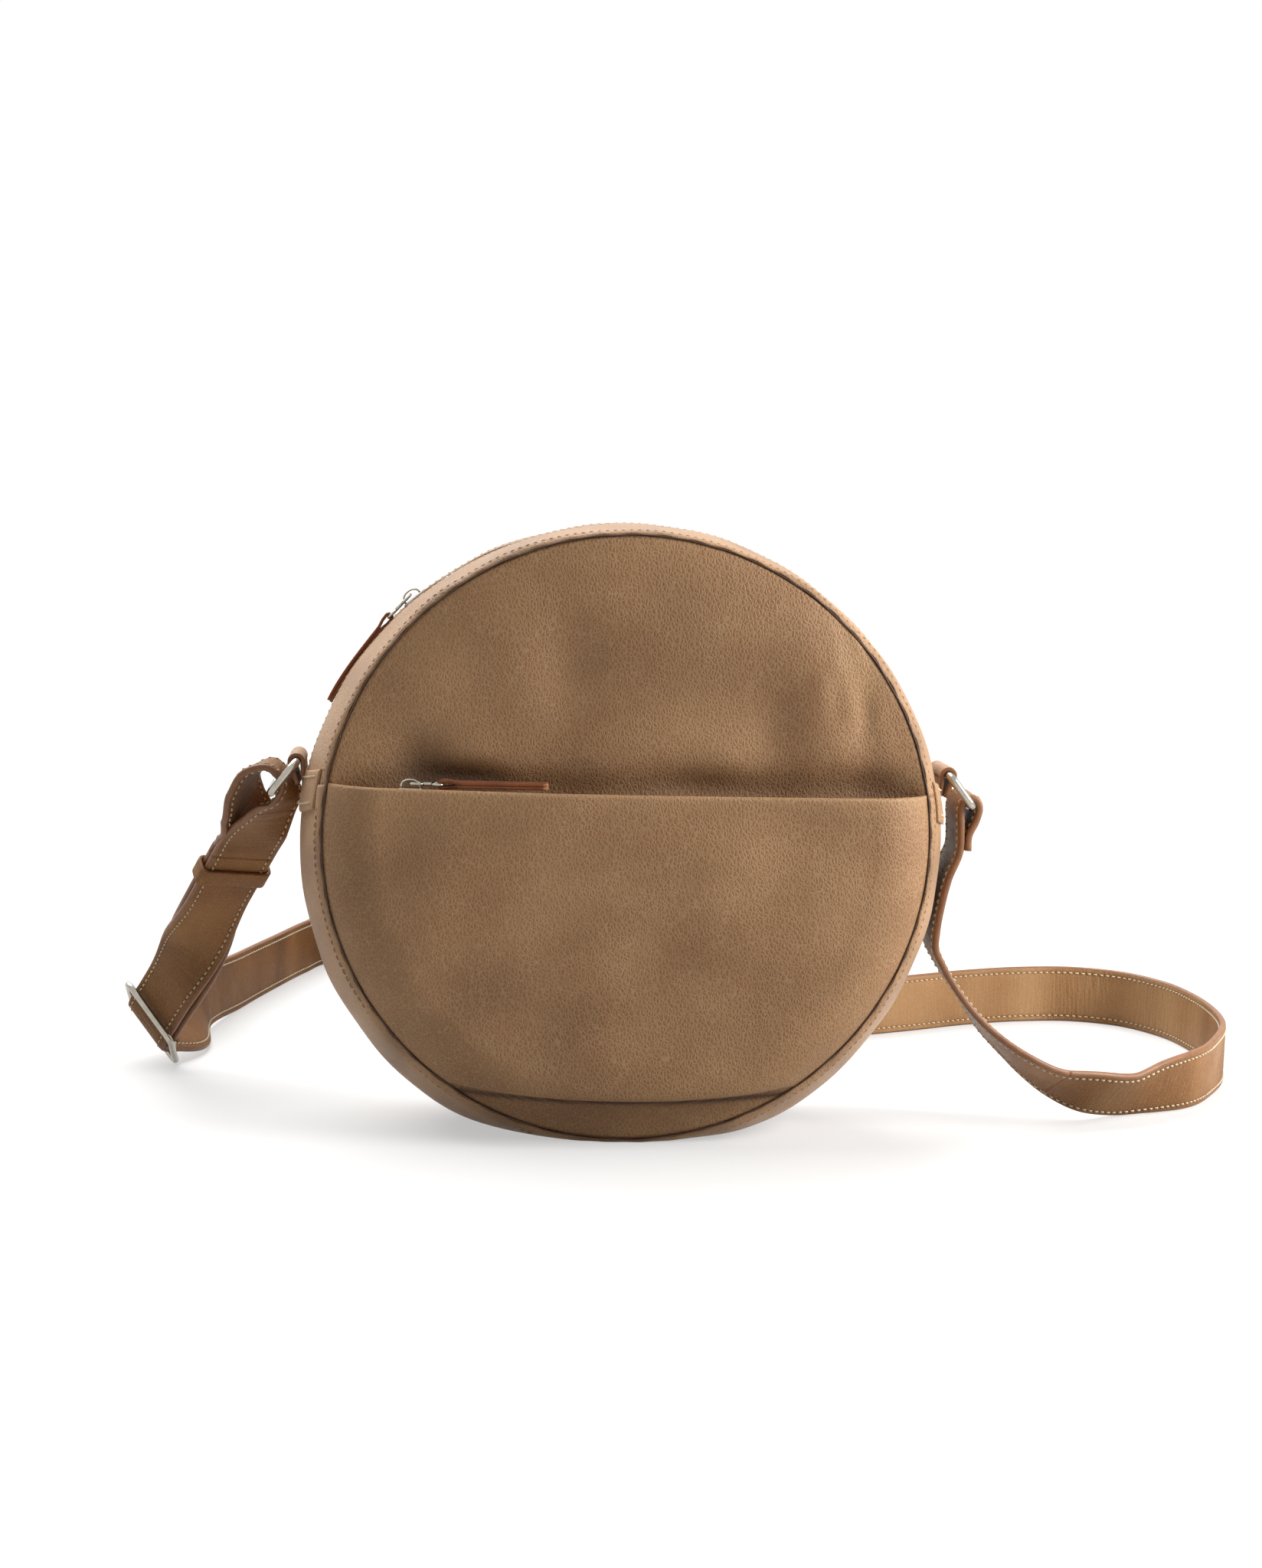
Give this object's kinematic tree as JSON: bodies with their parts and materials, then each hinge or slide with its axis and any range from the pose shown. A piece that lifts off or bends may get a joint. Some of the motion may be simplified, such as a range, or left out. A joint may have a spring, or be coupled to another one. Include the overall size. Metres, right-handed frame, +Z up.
{
  "type": "round cross-body bag",
  "caption": "Round soft leather cross-body bag with a zipped top, a zipped front pocket and an adjustable shoulder strap on side rings.",
  "frame": {"origin": "middle of the flat sole that the bag stands on", "axes": "+Z up from the sole, -Y out of the pocket side, +X to the right of someone facing the pocket"},
  "size_m": [0.5221, 0.4228, 0.2565],
  "materials": {
    "body_leather": "pebble grain, soft satin",
    "strap_leather": "pebble grain with brown painted edges",
    "pull_leather": "smooth reddish-brown",
    "zip_tape": "woven",
    "zip_metal": "bright nickel",
    "nickel": "polished nickel plate"
  },
  "bodies": {
    "bag": {"back_panel": "body_leather", "front_panel": "body_leather", "front_zip_gusset": "body_leather", "left_ring_tab": "body_leather", "left_side_patch": "body_leather", "lower_gusset": "body_leather", "main_zip_stops": "zip_metal", "main_zip_tape_front": "zip_tape", "main_zip_tape_rear": "zip_tape", "main_zip_teeth_front": "zip_metal", "main_zip_teeth_rear": "zip_metal", "pocket_panel": "body_leather", "pocket_zip_stops": "zip_metal", "pocket_zip_tape_front": "zip_tape", "pocket_zip_tape_rear": "zip_tape", "pocket_zip_teeth_front": "zip_metal", "pocket_zip_teeth_rear": "zip_metal", "rear_zip_gusset": "body_leather", "right_ring_tab": "body_leather", "right_side_patch": "body_leather", "strap_floor_loop": "strap_leather", "strap_front_strand": "strap_leather", "strap_left_run": "strap_leather", "strap_rear_run": "strap_leather", "strap_rear_strand": "strap_leather", "strap_right_drop": "strap_leather", "strap_right_end": "strap_leather", "strap_ring_turn": "strap_leather"},
    "main_slider": {"main_slider": "nickel"},
    "main_puller": {"main_puller": "nickel"},
    "main_pull_tab": {"main_pull_tab": "pull_leather"},
    "pocket_slider": {"pocket_slider": "nickel"},
    "pocket_puller": {"pocket_puller": "nickel"},
    "pocket_pull_tab": {"pocket_pull_tab": "pull_leather"},
    "left_ring": {"left_ring": "nickel"},
    "right_ring": {"right_ring": "nickel"},
    "slide_buckle": {"slide_buckle": "nickel"},
    "strap_keeper": {"strap_keeper": "strap_leather"}
  },
  "joints": [
    {"name": "main_slider_travel", "type": "hinge", "parent": "bag", "child": "main_slider", "pos_m": [0, 0, 0.1205], "axis": [0, 1, 0], "range_deg": [-8, 110]},
    {"name": "main_pull_swing", "type": "hinge", "parent": "main_slider", "child": "main_puller", "pos_m": [-0.09171, 0, 0.22415], "axis": [0, -1, 0], "range_deg": [-130, 0]},
    {"name": "main_tab_swing", "type": "hinge", "parent": "main_puller", "child": "main_pull_tab", "pos_m": [-0.10049, 0, 0.21457], "axis": [0, -1, 0], "range_deg": [-50, 0]},
    {"name": "pocket_slider_travel", "type": "slide", "parent": "bag", "child": "pocket_slider", "axis": [1, 0, 0], "range_m": [0, 0.17]},
    {"name": "pocket_pull_swing", "type": "hinge", "parent": "pocket_slider", "child": "pocket_puller", "pos_m": [-0.09, -0.0452, 0.1499], "axis": [0, 1, 0], "range_deg": [-130, 0]},
    {"name": "pocket_tab_swing", "type": "hinge", "parent": "pocket_puller", "child": "pocket_pull_tab", "pos_m": [-0.077, -0.0452, 0.1499], "axis": [0, 1, 0], "range_deg": [-50, 0]},
    {"name": "left_ring_swing", "type": "hinge", "parent": "bag", "child": "left_ring", "pos_m": [-0.13751, 0, 0.15428], "axis": [0, 1, 0], "range_deg": [-20, 60], "deforming": ["strap_ring_turn"]},
    {"name": "right_ring_swing", "type": "hinge", "parent": "bag", "child": "right_ring", "pos_m": [0.13751, 0, 0.15428], "axis": [0, -1, 0], "range_deg": [-20, 60], "deforming": ["strap_right_end", "strap_right_drop"]},
    {"name": "buckle_rock", "type": "hinge", "parent": "bag", "child": "slide_buckle", "pos_m": [-0.20495, 0.09697, 0.02089], "axis": [0.5961, -0.4711, -0.6501], "range_deg": [-3, 3]},
    {"name": "keeper_slide", "type": "slide", "parent": "bag", "child": "strap_keeper", "axis": [0.3368, -0.5919, 0.7323], "range_m": [-0.007, 0.007]}
  ]
}
